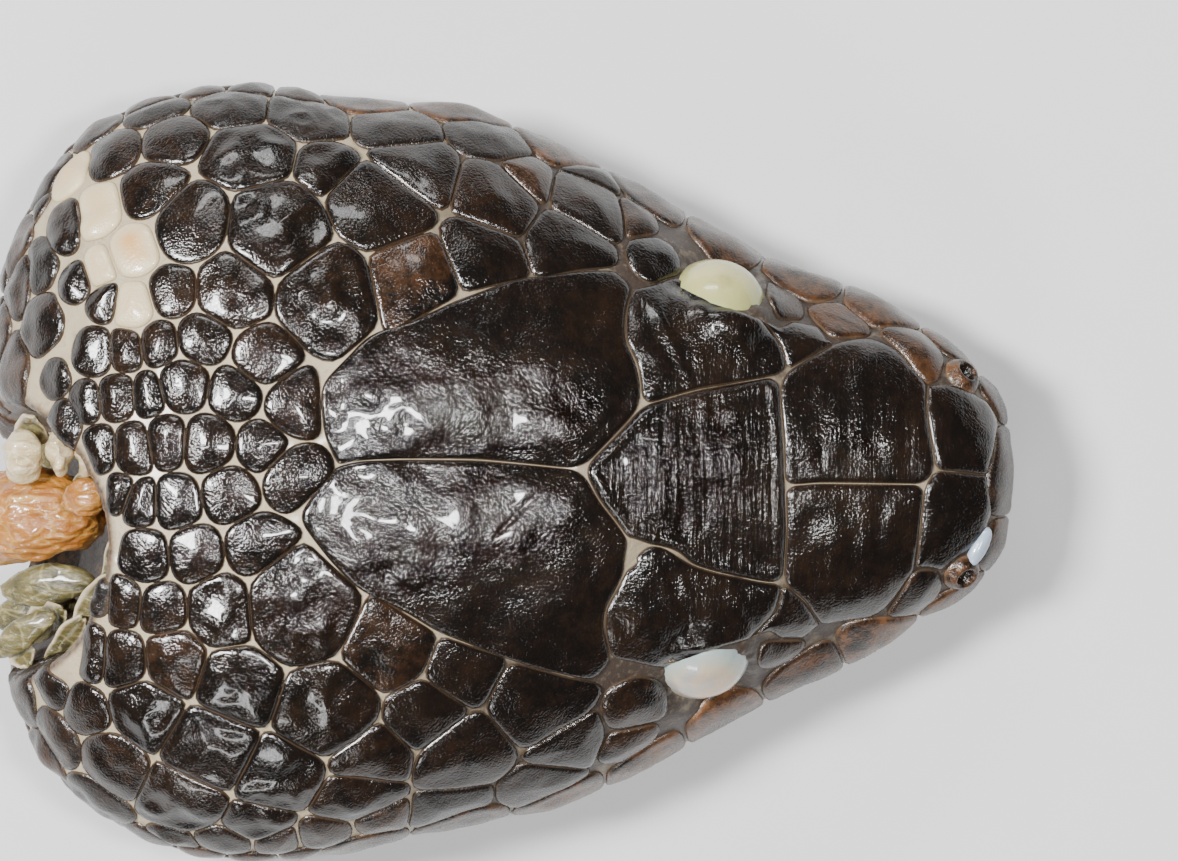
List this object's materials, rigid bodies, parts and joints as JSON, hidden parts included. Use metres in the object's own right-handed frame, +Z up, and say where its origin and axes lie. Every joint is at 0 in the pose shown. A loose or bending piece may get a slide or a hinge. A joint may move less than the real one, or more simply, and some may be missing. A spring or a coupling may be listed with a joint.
{
  "type": "preserved snake head",
  "caption": "Preserved head of a large snake, severed at the neck, with glossy dark head shields, pale seams, clouded eyes and exposed neck muscle.",
  "frame": {"origin": "the point under the middle of the box's footprint, on the surface that the head rests on", "axes": "+X to the snout, +Y to the animal's left, +Z up"},
  "size_m": [0.0468, 0.034, 0.0159],
  "materials": {
    "skin": "wet gloss, wrinkled",
    "eye": "clouded, wet",
    "muscle": "wet, fibrous",
    "membrane": "wet, torn",
    "fat": "wet, smooth"
  },
  "bodies": {
    "root": {"head": "skin", "left_eye": "eye", "right_eye": "eye", "neck_muscle_main": "muscle", "neck_muscle_small": "muscle", "membrane_upper": "membrane", "membrane_middle": "membrane", "membrane_lower": "membrane", "fat_lobe_outer": "fat", "fat_lobe_middle": "fat", "fat_lobe_inner": "fat"}
  },
  "joints": []
}
